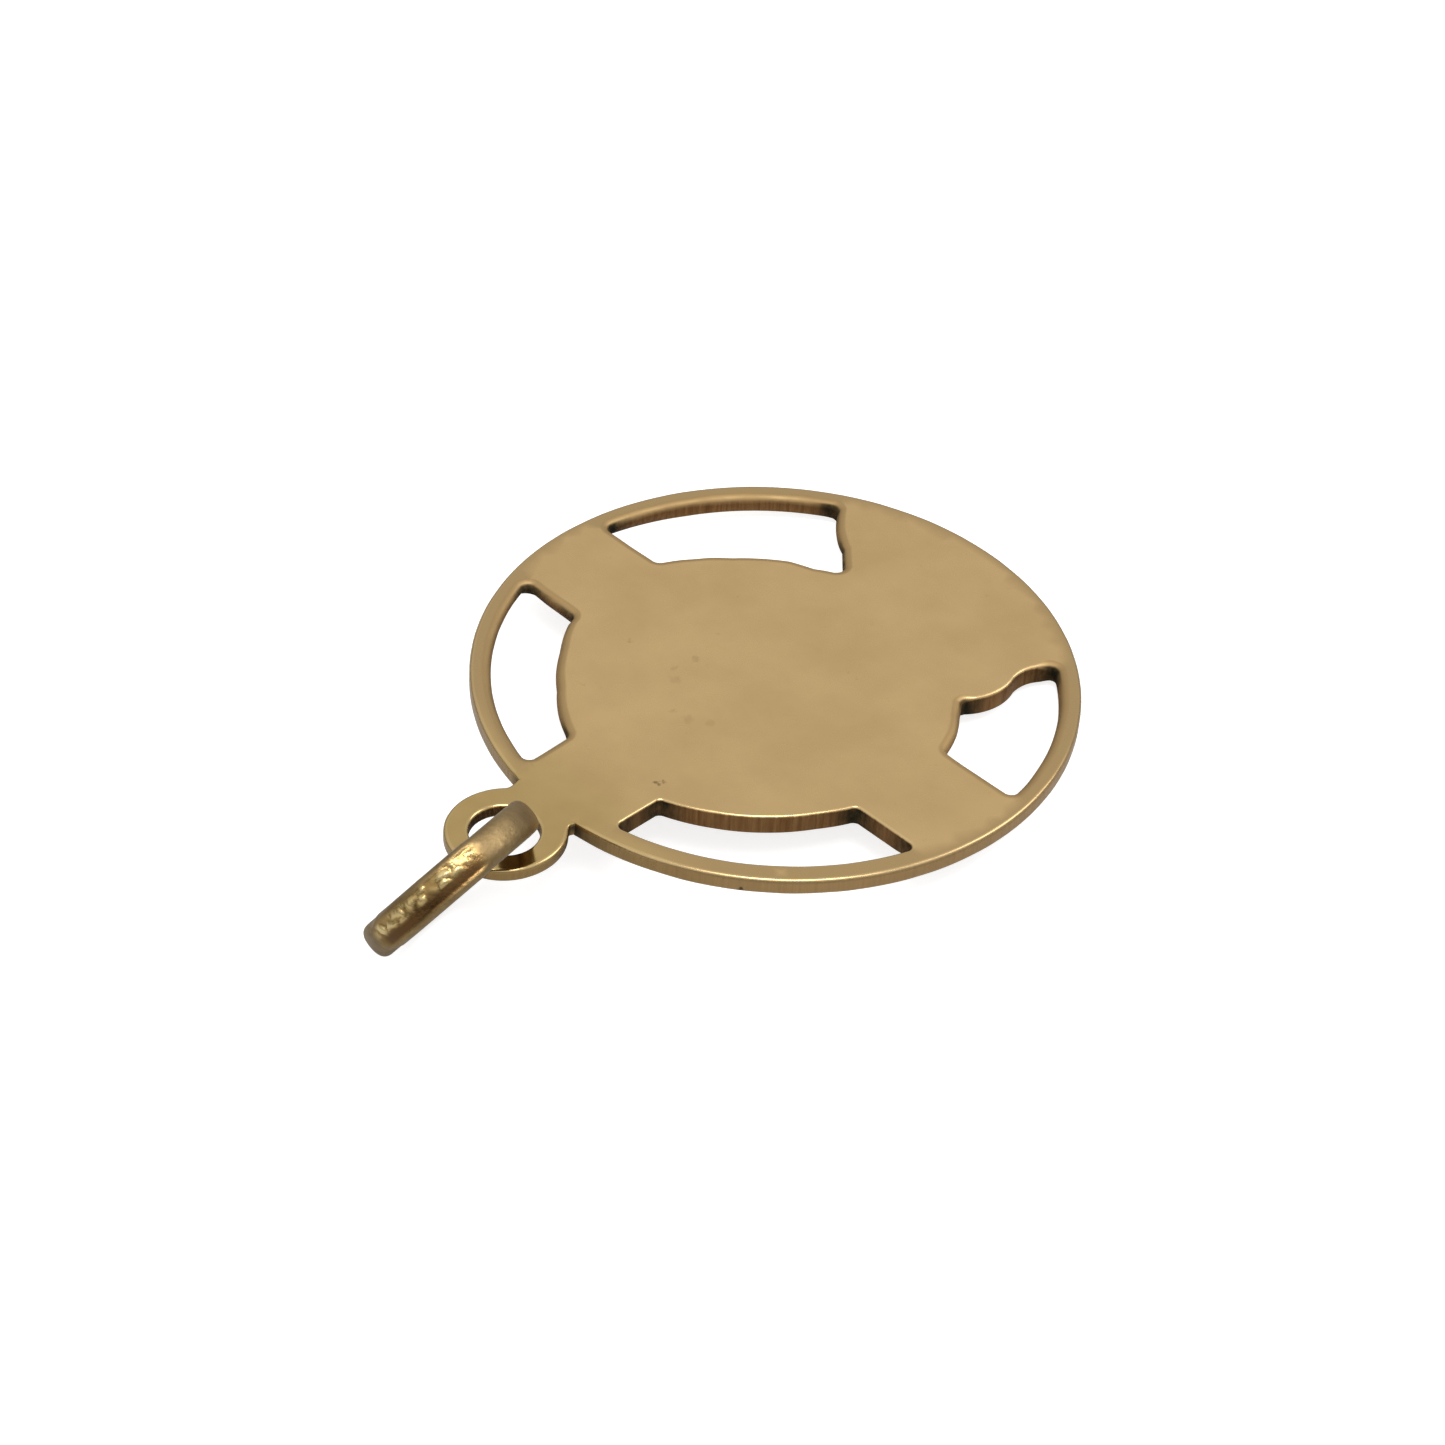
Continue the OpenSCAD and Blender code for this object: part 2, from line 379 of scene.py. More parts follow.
def rounded_rows(shell, points, normals, z, radius, up, weights=1.0, wall=1.0,
                 highlight_paint=1.0, dull=0.0, soft=0.0):
    """Rows of a rounded edge, from the flat face's border to the wall. The
    rounding is made larger or smaller by the weights. A painted highlight is strongest
    halfway round, and the wall's colour, partly painted shade, comes in towards its end."""
    weights, highlight_paint, dull, soft = (np.broadcast_to(value, len(points)).tolist()
                                  for value in (weights, highlight_paint, dull, soft))
    rows = []
    profile = [(1 + SUPPORT / radius, 0.0)]
    for step in range(ROUND_STEPS + 1):
        angle = step * math.pi / 2 / ROUND_STEPS
        profile.append((1 - math.sin(angle), 1 - math.cos(angle)))
    for along, down in profile:
        on_face = along > 1
        # a highlight painted into the rounding's colour, strongest part way down it
        glint = 0.0 if on_face else max(0.0, 1 - abs(down - 0.29) * 2.2)
        row = []
        for i, (x, y) in enumerate(points):
            size = lively(x, y, radius) * weights[i]
            shift = (radius + SUPPORT) * weights[i] if on_face else along * size
            wear_and_shade = min(weights[i], 1.0)
            row.append(shell.point(x + normals[i][0] * shift, y + normals[i][1] * shift,
                                   z - up * down * size,
                                   edge=glint * wear_and_shade * highlight_paint[i], dull=dull[i],
                                   soft=0.0 if on_face else soft[i],
                                   wall=wall * wear_and_shade * max(0.0, down * 1.5 - 0.5)))
        rows.append(row)
    return rows


# --------------------------------------------------------------------- disc
def disc_mesh():
    """The pierced disc: flat above, and below a rim with the medallion, arms
    and web standing a little proud of it."""
    low, high = (Vector(c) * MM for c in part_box("disc"))
    radius, top, base = high.x, high.z, low.z
    step_z = top - RIM_THICK
    relief_r = radius - RIM_WIDTH - RELIEF_INSET
    windows = [hand_cut(finer(w), radius - RIM_WIDTH) for w in face_outlines("disc")[1:]]
    shell = Shell()
    upper, lower = disc_edge(shell, radius, top, step_z)
    holes, rim_parts, figure_parts = zip(*[
        window_wall(shell, outline, relief_r, top, step_z, base) for outline in windows])
    seams = [step_arc(shell, figure_parts, part[-1], relief_r, step_z, base)
             for part in figure_parts]
    figure_outer = linked(figure_parts, [below for below, _ in seams])
    rim_inner = linked(rim_parts, [above for _, above in seams])
    shell.plane(upper, holes, top, FACE_GRID, FACE_WAVE)
    shell.plane(lower, [rim_inner], step_z)
    shell.plane(figure_outer, [], base, FACE_GRID, -FACE_WAVE)
    return shell.mesh("pierced_disc")


def disc_edge(shell, radius, top, step_z):
    """The disc's rounded outer edge, with a painted highlight, square and darkened
    where the eye's foot meets it. Returns its borders in the upper and the lower face."""
    edge = circle((0, 0), radius, DISC_STEPS)
    inward = -outward(edge)
    notch = near_notch(edge, radius)
    free = ramp(np.abs(edge[:, 0] - FOOT_MID) - FOOT_WIDTH / 2, 0.02, 0.4)
    free = np.where(edge[:, 1] > 0, 1.0, free)
    # the rim's colour is darkened as painted shade
    dull = ramp(edge[:, 1] + radius, 0.6, 1.5)
    # painted highlight, strongest on the near side and left off at the notches
    highlight_paint = (1 - notch) * np.maximum(0.2, ramp(edge[:, 1], 6, -6))
    upper = rounded_rows(shell, edge, inward, top, DISC_EDGE, 1, free, OUTER_WALL, highlight_paint, dull)
    lower = rounded_rows(shell, edge, inward, step_z, DISC_EDGE, -1, 1.0, OUTER_WALL)
    # darkened at the notches beside the eye's foot
    soil_and_shade(shell, upper[-3:], notch * free)
    soil_and_shade(shell, lower[-2:], notch)
    shell.ribbon(upper + [wall_row(shell, edge, top - WALL_ROW, notch)] + lower[::-1])
    return upper[0], lower[0]


def window_wall(shell, outline, relief_r, top, step_z, base):
    """One window's rounded upper edge and its wall. Returns the window's border
    in the upper face, and its lower border in two parts: under the rim, and
    under the medallion, arms and web."""
    under = outline + outward(outline) * (LEAN * leaning(outline))[:, None]
    outline, under = split_at_radius(outline, under, relief_r)
    normals = outward(outline)
    reach = np.hypot(under[:, 0], under[:, 1])
    soft = softness(outline, reach)
    # soft edges get painted shade in their colour and little of the painted highlight
    rows = rounded_rows(shell, outline, normals, top, WINDOW_EDGE, 1,
                        weights=1 + (SOFT_EDGE / WINDOW_EDGE - 1) * soft,
                        highlight_paint=1 - 0.9 * soft, soft=soft,
                        # the rim's part of the edge is darkened as painted shade
                        dull=np.clip((reach - relief_r) / 0.1 + 1, 0, 1))
    shell.ribbon(rows)
    # painted shade in the windows' corners, left off where the walls lean under
    shade_kept = np.where(outline[:, 0] > 0, 1 - leaning(outline), 1)
    stain_and_shade = np.clip(1.15 - from_corners(outline) / CORNER_REACH, 0, 1) * shade_kept
    soil_and_shade(shell, rows[-3:], stain_and_shade * soft)
    cut = np.abs(reach - relief_r) < 1e-5
    gap = gap_to(under, under[cut])
    foot, step = LOWER_EDGE * ramp(gap, 0, 0.3), ramp(gap, 0, STEP_RUN)
    borders = []
    for ids, drop in zip(split_at_cuts(cut, reach > relief_r + 1e-6), (0.0, step_z - base)):
        columns = []
        for i in ids:
            x, y = under[i]
            floor = step_z - drop * step[i]
            wear_and_shade = dict(wall=1.0, grime=float(stain_and_shade[i]))
            column = [shell.note(rows[-1][i], **wear_and_shade)]
            if drop:
                column.append(shell.point(x, y, step_z, **wear_and_shade))
            column.append(shell.point(x, y, floor + foot[i], **wear_and_shade))
            x, y = under[i] + normals[i] * foot[i]
            # a painted highlight along the window's lower edge
            column.append(shell.point(x, y, floor, edge=0.3))
            columns.append(column)
        shell.ribbon([list(row) for row in zip(*columns)], closed=False)
        borders.append([column[-1] for column in columns])
    return rows[0], *borders


def split_at_cuts(cut, on_rim):
    """A window's points in order: those along the rim, and then the rest, with
    the two that are cuts at the ends of both."""
    count = len(cut)
    first = next(i for i in range(count) if cut[i] and on_rim[(i + 1) % count])
    order = [(first + k) % count for k in range(count + 1)]
    second = next(k for k in range(1, count) if cut[order[k]])
    return order[:second + 1], order[second:]


def hand_cut(points, rim_r):
    """A window's outline with the medallion's side cut a little out of true.
    The shift dies away towards the rim."""
    arm = points - (0, MEDALLION_Y)
    far = np.hypot(arm[:, 0], arm[:, 1])
    angle = np.degrees(np.arctan2(arm[:, 1], arm[:, 0]))
    to_rim = np.clip(rim_r - np.hypot(points[:, 0], points[:, 1]), 0, None)
    weight = to_rim / (to_rim + np.clip(far - MEDALLION_R, 0, None) + 1e-6)
    out = np.interp(angle, *zip(*HAND_CUT)) * weight
    along = SLANT * ramp(angle, *SLANT_AT) * weight
    ray = arm / far[:, None]
    return points + ray * out[:, None] + np.stack([-ray[:, 1], ray[:, 0]], 1) * along[:, None]


def softness(points, reach):
    """How far a window's upper edge is worn soft, 0 to 1. The window to the
    right of the eye is crisp all round, and the web's lobed flank nearly so."""
    x, y = points.mean(0)
    if x > 0 > y:
        return np.zeros(len(points))
    if x < 0:
        return np.ones(len(points))
    return 1 - LOBE_CRISP * (ramp(points[:, 1], *LOBED_FLANK) * ramp(reach, *IN_FROM_RIM))


def leaning(points):
    """How far the windows' walls lean under, 0 to 1: most beside the left arm,
    on the web's even flank, and on the medallion right of the web."""
    x, y = points.T
    inner = ramp(np.hypot(x, y), *IN_FROM_RIM)
    arm = ramp(x, *LEFT_ARM[0]) * ramp(y, *LEFT_ARM[1])
    flank = inner * ramp(x, *EVEN_FLANK[0]) * ramp(y, *EVEN_FLANK[1])
    right = inner * ramp(y, *RIGHT_OF_WEB) * (y > 0)
    return np.where(x < 0, np.maximum(arm, flank), right)


def near_notch(points, radius):
    """How near points lie to the notches between the disc and the eye's foot, 0 to 1."""
    corners = np.array([(x, -math.sqrt(radius ** 2 - x ** 2))
                        for x in (FOOT_MID - FOOT_WIDTH / 2, FOOT_MID + FOOT_WIDTH / 2)])
    return np.clip(1.25 - gap_to(points, corners) / NOTCH_REACH, 0, 1)


def wall_row(shell, points, z, notch):
    """A row along an outer wall, darkened at the notches."""
    return [shell.point(x, y, z, wall=OUTER_WALL, grime=float(dirt_and_shade))
            for (x, y), dirt_and_shade in zip(points, notch)]


def soil_and_shade(shell, rows, amounts):
    """Notes dirt and painted shade along rows of points."""
    for row in rows:
        for vert, amount in zip(row, amounts):
            shell.note(vert, grime=float(amount))


def split_at_radius(upper, lower, radius):
    """A wall's upper and lower outlines, each with a point added wherever the
    lower one crosses the given radius."""
    made = []
    both = np.hstack([upper, lower])
    for a, b in zip(both, np.roll(both, -1, 0)):
        made.append(a)
        foot, way = a[2:], (b - a)[2:]
        if (np.hypot(*foot) - radius) * (np.hypot(*b[2:]) - radius) < 0:
            qa, qb, qc = way @ way, 2 * foot @ way, foot @ foot - radius ** 2
            root = math.sqrt(qb * qb - 4 * qa * qc)
            for t in ((-qb - root) / (2 * qa), (-qb + root) / (2 * qa)):
                if 1e-4 < t < 1 - 1e-4:
                    made.append(a + t * (b - a))
    return np.hsplit(np.array(made), 2)


def step_arc(shell, parts, start, radius, step_z, base):
    """The low step across an arm's end, clockwise from one window to the next.
    Returns its lower line, and its upper line the other way round."""
    a0 = math.atan2(start.co.y, start.co.x)

    def clockwise(part):
        return (a0 - math.atan2(part[0].co.y, part[0].co.x)) % (2 * math.pi)

    end = min(parts, key=clockwise)
    span = clockwise(end)
    steps = max(4, round(span * radius / 0.2))
    places = [(start.co.x, start.co.y)]
    for k in range(1, steps):
        angle = a0 - span * k / steps
        places.append((radius * math.cos(angle), radius * math.sin(angle)))
    places.append((end[0].co.x, end[0].co.y))
    run = STEP_RUN * steps / (span * radius)
    fall = [min(1.0, k / run, (steps - k) / run) for k in range(steps + 1)]
    high = [shell.point(x, y, step_z) for x, y in places]
    low = [shell.point(x, y, step_z - (step_z - base) * f) for (x, y), f in zip(places, fall)]
    shell.ribbon([high, low], closed=False)
    return low, high[::-1]


def linked(parts, seams):
    """One closed line of parts and seams, each beginning where the last ends."""
    line, part = [], parts[0]
    for _ in parts:
        at = part[-1].co.xy
        seam = min(seams, key=lambda s: (s[0].co.xy - at).length)
        line += part[:-1] + seam[:-1]
        ahead = seam[-1].co.xy
        part = min(parts, key=lambda p: (p[0].co.xy - ahead).length)
    return line


# ---------------------------------------------------------------------- eye
def eye_outline(centre, radius, seam_r):
    """The eye's outline, anticlockwise: the round and its foot, which ends
    on the disc's edge."""
    left, right = FOOT_MID - FOOT_WIDTH / 2, FOOT_MID + FOOT_WIDTH / 2

    def on_seam(x):
        return -math.sqrt(seam_r ** 2 - x ** 2)

    def on_round(x):
        return centre.y + math.sqrt(radius ** 2 - (x - centre.x) ** 2)

    a0 = math.atan2(on_round(left) - centre.y, left - centre.x)
    a1 = math.atan2(on_round(right) - centre.y, right - centre.x) + 2 * math.pi
    path = [(left, on_seam(left))]
    for k in range(EYE_STEPS + 1):
        angle = a0 + (a1 - a0) * k / EYE_STEPS
        side = radius * math.cos(angle)
        side *= 1 - EYE_SQUEEZE * smooth(side / radius * 1.4)
        path.append((centre.x + side, centre.y + radius * math.sin(angle)))
    path.append((right, on_seam(right)))
    path = even_steps(np.array(path), EYE_SPACING)
    path = run_solder(path, -(seam_r + FOOT_OUT))
    seam = [(x, on_seam(x)) for x in np.linspace(right, left, 60)[1:-1]]
    return np.vstack([path, seam]), len(path)


def even_steps(path, spacing):
    """A path laid out again in equal steps."""
    way = np.hypot(*np.diff(path, axis=0).T)
    along = np.concatenate([[0], np.cumsum(way)])
    at = np.linspace(0, along[-1], round(along[-1] / spacing) + 1)
    return np.stack([np.interp(at, along, path[:, i]) for i in (0, 1)], 1)


def run_solder(path, foot_y):
    """Softens the outline's corners near the foot, where solder has run in."""
    near = np.clip(1 - np.abs(path[:, 1] - foot_y) / SOLDER_REACH, 0, 1)[1:-1, None]
    for _ in range(7):
        mean = 0.5 * path[1:-1] + 0.25 * (path[:-2] + path[2:])
        path[1:-1] += near * (mean - path[1:-1])
    return path


def eye_mesh():
    """The eye: a thin washer on a foot, flush with the disc's flat face."""
    low, high = (Vector(c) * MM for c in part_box("eye"))
    radius = (high.x - low.x) / 2
    centre = Vector(((low.x + high.x) / 2, low.y + radius))
    disc_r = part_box("disc")[1].x * MM
    hole = min(face_outlines("eye"), key=lambda p: abs(area(p)))
    middle = (hole.min(0) + hole.max(0)) / 2
    hole_r = float((hole.max(0) - hole.min(0)).max()) / 2
    outline, free = eye_outline(centre, radius - EYE_PLAY, disc_r)
    normals = -outward(outline)
    off_seam = np.arange(len(outline)) < free
    fade = ramp(np.hypot(outline[:, 0], outline[:, 1]) - disc_r, 0.04, 0.4) * off_seam
    notch = near_notch(outline, disc_r) * off_seam
    shell = Shell()
    # a painted highlight along the outer edge, left off at the notches
    upper = rounded_rows(shell, outline, normals, high.z, DISC_EDGE, 1, fade, OUTER_WALL,
                         1 - notch)
    lower = rounded_rows(shell, outline, normals, low.z, DISC_EDGE, -1, fade, OUTER_WALL)
    # darkened at the notches beside the foot
    soil_and_shade(shell, upper[-3:] + lower[-2:], notch * fade)
    shell.ribbon(upper + [wall_row(shell, outline, high.z - WALL_ROW, notch)] + lower[::-1])
    bore = circle(middle, hole_r, EYE_STEPS)
    out = outward(bore)
    bore_up = rounded_rows(shell, bore, out, high.z, HOLE_EDGE, 1)
    bore_down = rounded_rows(shell, bore, out, low.z, HOLE_EDGE, -1)
    # the hole's wall is darkened as painted shade
    for vert in bore_up[-1] + bore_down[-1]:
        shell.note(vert, wall=1.0, grime=0.6)
    shell.ribbon(bore_up + bore_down[::-1])
    shell.plane(upper[0], [bore_up[0]], high.z, EYE_GRID, EYE_WAVE)
    shell.plane(lower[0], [bore_down[0]], low.z, EYE_GRID)
    return shell.mesh("soldered_eye")


# --------------------------------------------------------------------- bail
def band_section():
    """Section of the bail's band: x across the band, outwards, y along it.
    The outer side is crowned, the inner one flat with rounded corners."""
    half_w, half_t = BAIL_WIDTH / 2, BAIL_THICK / 2
    points = []
    for k in range(33):
        angle = math.radians(-90 + 180 * k / 32)
        across = max(0.0, math.cos(angle)) ** (2 / BAIL_CROWN)
        along = math.copysign(abs(math.sin(angle)) ** (2 / BAIL_CROWN), angle)
        points.append((half_t * across, half_w * along))
    for side, start in ((1, 90), (-1, 180)):
        for k in range(9):
            angle = math.radians(start + 90 * k / 8)
            points.append((
                BAIL_INNER_ROUND * (1 + math.cos(angle)) - half_t,
                side * (half_w - BAIL_INNER_ROUND) + BAIL_INNER_ROUND * math.sin(angle)))
    return even_steps(np.array(points + points[:1]), BAIL_SPACING)[:-1] / MM


def new_nodes(tree, *kinds):
    """Nodes of the given kinds, new in a tree."""
    return [tree.nodes.new(kind) for kind in kinds]


def sweep_tree():
    """Node tree that sweeps the section in its mesh round the bail's circle."""
    tree = bpy.data.node_groups.new("bail sweep", "GeometryNodeTree")
    face = tree.interface
    face.new_socket("Section", in_out="INPUT", socket_type="NodeSocketGeometry")
    for name, kind in (("Middle radius", "NodeSocketFloat"), ("Steps", "NodeSocketInt"),
                       ("Uneven by", "NodeSocketFloat"), ("Finish", "NodeSocketMaterial")):
        face.new_socket(name, in_out="INPUT", socket_type=kind)
    face.new_socket("Ring", in_out="OUTPUT", socket_type="NodeSocketGeometry")
    given, made = new_nodes(tree, "NodeGroupInput", "NodeGroupOutput")
    ring, section, sweep = new_nodes(tree, "GeometryNodeCurvePrimitiveCircle",
                                     "GeometryNodeMeshToCurve", "GeometryNodeCurveToMesh")
    texture, centre, scale, shift = new_nodes(
        tree, "ShaderNodeTexNoise", "ShaderNodeVectorMath", "ShaderNodeVectorMath",
        "GeometryNodeSetPosition")
    real, finish = new_nodes(tree, "GeometryNodeRealizeInstances", "GeometryNodeSetMaterial")
    ring.mode = "RADIUS"
    texture.inputs["Scale"].default_value = BAIL_PATTERN
    texture.inputs["Detail"].default_value = 1.0
    centre.operation, scale.operation = "SUBTRACT", "SCALE"
    centre.inputs[1].default_value = (0.5, 0.5, 0.5)
    link = tree.links.new
    link(given.outputs["Middle radius"], ring.inputs["Radius"])
    link(given.outputs["Steps"], ring.inputs["Resolution"])
    link(given.outputs["Section"], section.inputs["Mesh"])
    link(ring.outputs["Curve"], sweep.inputs["Curve"])
    link(section.outputs["Curve"], sweep.inputs["Profile Curve"])
    link(sweep.outputs["Mesh"], shift.inputs["Geometry"])
    link(texture.outputs["Color"], centre.inputs[0])
    link(centre.outputs["Vector"], scale.inputs[0])
    link(given.outputs["Uneven by"], scale.inputs["Scale"])
    link(scale.outputs["Vector"], shift.inputs["Offset"])
    link(shift.outputs["Geometry"], real.inputs["Geometry"])
    link(real.outputs["Geometry"], finish.inputs["Geometry"])
    link(given.outputs["Finish"], finish.inputs["Material"])
    link(finish.outputs["Geometry"], made.inputs["Ring"])
    return tree


def swept_ring(finish):
    """The plain ring about the origin, its axis along Z, as a finished mesh."""
    section = band_section()
    data = bpy.data.meshes.new("band section")
    count = len(section)
    data.from_pydata([(x, y, 0) for x, y in section],
                     [(i, (i + 1) % count) for i in range(count)], [])
    maker = bpy.data.objects.new("band section", data)
    bpy.context.scene.collection.objects.link(maker)
    sweep = maker.modifiers.new("sweep", "NODES")
    sweep.node_group = sweep_tree()
    values = {"Middle radius": BAIL_MIDDLE_R / MM, "Steps": BAIL_STEPS,
              "Uneven by": BAIL_UNEVEN / MM, "Finish": finish}
    for item in sweep.node_group.interface.items_tree:
        if item.name in values:
            sweep[item.identifier] = values[item.name]
    graph = bpy.context.evaluated_depsgraph_get()
    ring = bpy.data.meshes.new_from_object(maker.evaluated_get(graph))
    bpy.data.objects.remove(maker)
    bpy.data.meshes.remove(data)
    return ring


def bail_frame():
    """Centre of the bail, and its axes: towards the eye, up the ring, along its axis."""
    low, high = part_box("bail")
    centre = (low + high) / 2
    loop = next(m for m in frame["record"]["mounts"] if m["name"] == "bail_loop")
    axis = Vector(loop["axis"]).normalized()
    eye_low, eye_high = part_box("eye")
    passing = Vector(((eye_low.x + eye_high.x) / 2, eye_low.y + BAND_PASS / MM, eye_high.z))
    towards = passing - centre
    towards = (towards - axis * towards.dot(axis)).normalized()
    return centre, towards, axis.cross(towards), axis


def beaten(x, y):
    """Height of the beaten metal at a place on the band, 0 in the hollows."""
    sway = [BEAT_SWAY * noise.noise(Vector((x * BEAT_PATTERN, y * BEAT_PATTERN, layer)))
            for layer in (1.9, 8.4)]
    bent = Vector((x + sway[0], y + sway[1], 0))
    near, cells = noise.voronoi(Vector((bent.x * BEAT_LUMPS[0], bent.y * BEAT_LUMPS[1], 7.7)))
    level = 0.5 + 0.5 * noise.cell(cells[0] * 5.3)
    fold = 0.35 * noise.noise(Vector((x * 4.5, y * 4.5, 3.3)))
    lump = smooth((near[1] - near[0]) * 2.2 + fold) * (0.35 + 0.65 * level)
    return lump * smooth(1.4 - abs(y + 0.19) / 0.24)


def bail_wear(x, y, z):
    """Wear of the ring at a point about its own axis: how far the band sinks
    and swells there, and the marks it bears, with painted shade on one side of the hollow."""
    reach = math.hypot(x, y)
    angle, out = math.atan2(y, x) % (2 * math.pi), reach - BAIL_MIDDLE_R
    along = smooth(min(angle - STRUCK_FROM, STRUCK_TO - angle) * 5 + 0.5)
    hollow = along * smooth((STRUCK_HALF - abs(z)) * 6 + 0.5) * smooth(out / 0.25 - 0.4)
    lump = hollow * beaten(angle * BAIL_MIDDLE_R, z)
    sunk = 1 - STRUCK_DEPTH * (0.75 * hollow - lump) / reach
    pinch = smooth(1 - abs(angle - STRUCK_TO - 0.06) / 0.16)
    swell = 1 + STRUCK_SWELL * along - STRUCK_PINCH * pinch
    # painted shade: the hollow is darker towards one side of the band
    shadow = 0.35 + 0.65 * smooth((z + 0.25) / 0.45)
    grime = max(hollow * max(0, 1 - 3 * lump) * shadow, 0.75 * smooth(-out / 0.2 - 1.2))
    return sunk, swell, {"struck": hollow, "edge": lump, "grime": grime}


def bail_mesh(finish):
    """The bail ring, with a hollow, beaten and polished stretch."""
    data = swept_ring(finish)
    centre, *axes = bail_frame()
    turn = Matrix(axes).transposed()
    marks = []
    for vert in data.vertices:
        sunk, swell, wear_and_shade = bail_wear(*(c * MM for c in vert.co))
        marks.append(wear_and_shade)
        x, y, z = vert.co
        vert.co = centre + turn @ Vector((x * sunk, y * sunk, z * swell))
    for name in ("edge", "grime", "struck"):
        values = [wear_and_shade[name] for wear_and_shade in marks]
        data.attributes.new(name, "FLOAT", "POINT").data.foreach_set("value", values)
    data.polygons.foreach_set("use_smooth", [True] * len(data.polygons))
    bm = bmesh.new()
    bm.from_mesh(data)
    bmesh.ops.recalc_face_normals(bm, faces=bm.faces)
    bm.to_mesh(data)
    bm.free()
    return data


# ----------------------------------------------------------------- finishes
def metal(name):
    """A new metal finish, its node tree and its shader."""
    finish = bpy.data.materials.new(name)
    finish.use_nodes = True
    bsdf = finish.node_tree.nodes["Principled BSDF"]
    bsdf.inputs["Metallic"].default_value = 1.0
    return finish, finish.node_tree, bsdf


def millimetres(tree, stretch=(1, 1, 1), turn=0.0):
    """Object coordinates counted in millimetres, stretched for a grain."""
    where, mapping = new_nodes(tree, "ShaderNodeTexCoord", "ShaderNodeMapping")
    mapping.inputs["Scale"].default_value = [MM * s for s in stretch]
    mapping.inputs["Rotation"].default_value = (0, 0, turn)
    tree.links.new(where.outputs["Object"], mapping.inputs["Vector"])
    return mapping.outputs["Vector"]


def spread(tree, value, start, end, low=0.0, high=1.0, eased=True):
    """A value's range from start to end, laid over low to high."""
    node = tree.nodes.new("ShaderNodeMapRange")
    node.interpolation_type = "SMOOTHSTEP" if eased else "LINEAR"
    for name, number in zip(("From Min", "From Max", "To Min", "To Max"),
                            (start, end, low, high)):
        node.inputs[name].default_value = number
    tree.links.new(value, node.inputs["Value"])
    return node.outputs["Result"]


def mottle(tree, where, scale, detail, rough=0.5, low=0.0, high=1.0, out=(0.0, 1.0)):
    """A smooth random pattern, with its middle range laid over out."""
    texture = tree.nodes.new("ShaderNodeTexNoise")
    for name, number in zip(("Scale", "Detail", "Roughness"), (scale, detail, rough)):
        texture.inputs[name].default_value = number
    tree.links.new(where, texture.inputs["Vector"])
    return spread(tree, texture.outputs["Fac"], low, high, *out, eased=False)


def along_y(tree, where, start, end):
    """0 at start and 1 at end, along the pendant's length in millimetres."""
    parts = tree.nodes.new("ShaderNodeSeparateXYZ")
    tree.links.new(where, parts.inputs[0])
    return spread(tree, parts.outputs["Y"], start, end)


def small_marks(tree, where, marks):
    """Small marks at given places, uneven at their borders."""
    wobble, sway, shifted = new_nodes(tree, "ShaderNodeTexNoise", "ShaderNodeVectorMath",
                                      "ShaderNodeVectorMath")
    wobble.inputs["Scale"].default_value = 3.5
    sway.operation, shifted.operation = "MULTIPLY", "ADD"
    sway.inputs[1].default_value = (MARK_SWAY, MARK_SWAY, 0.0)
    tree.links.new(where, wobble.inputs["Vector"])
    tree.links.new(wobble.outputs["Color"], sway.inputs[0])
    tree.links.new(where, shifted.inputs[0])
    tree.links.new(sway.outputs["Vector"], shifted.inputs[1])
    total = None
    for (x, y, z), radius, dark in marks:
        gap = tree.nodes.new("ShaderNodeVectorMath")
        gap.operation = "DISTANCE"
        gap.inputs[1].default_value = (x + MARK_SWAY / 2, y + MARK_SWAY / 2, z)
        tree.links.new(shifted.outputs["Vector"], gap.inputs[0])
        mark = spread(tree, gap.outputs["Value"], radius * 0.3, radius, dark, 0.0)
        total = worked(tree, "MAXIMUM", total, mark) if total else mark
    return total


def noted(tree, name):
    """A wear value kept at the mesh's points."""
    attribute = tree.nodes.new("ShaderNodeAttribute")
    attribute.attribute_name = name
    return attribute.outputs["Fac"]


def blend(tree, factor, first, second):
    """One colour laid over another by a factor."""
    mix = tree.nodes.new("ShaderNodeMix")
    mix.data_type = "RGBA"
    tree.links.new(factor, mix.inputs["Factor"])
    for value, socket in ((first, mix.inputs[6]), (second, mix.inputs[7])):
        if isinstance(value, tuple):
            socket.default_value = (*value, 1)
        else:
            tree.links.new(value, socket)
    return mix.outputs[2]


def worked(tree, kind, first, second):
    """Two values put together by one arithmetic step."""
    step = tree.nodes.new("ShaderNodeMath")
    step.operation = kind
    for value, socket in ((first, step.inputs[0]), (second, step.inputs[1])):
        if isinstance(value, float):
            socket.default_value = value
        else:
            tree.links.new(value, socket)
    return step.outputs[0]


def times(tree, first, second):
    """Two values multiplied."""
    return worked(tree, "MULTIPLY", first, second)


def raised(tree, bsdf, *layers):
    """Bumps laid over one another: (height, strength, distance in mm)."""
    normal = None
    for height, strength, depth in layers:
        bump = tree.nodes.new("ShaderNodeBump")
        bump.inputs["Strength"].default_value = strength
        bump.inputs["Distance"].default_value = depth / MM
        tree.links.new(height, bump.inputs["Height"])
        if normal:
            tree.links.new(normal, bump.inputs["Normal"])
        normal = bump.outputs["Normal"]
    tree.links.new(normal, bsdf.inputs["Normal"])


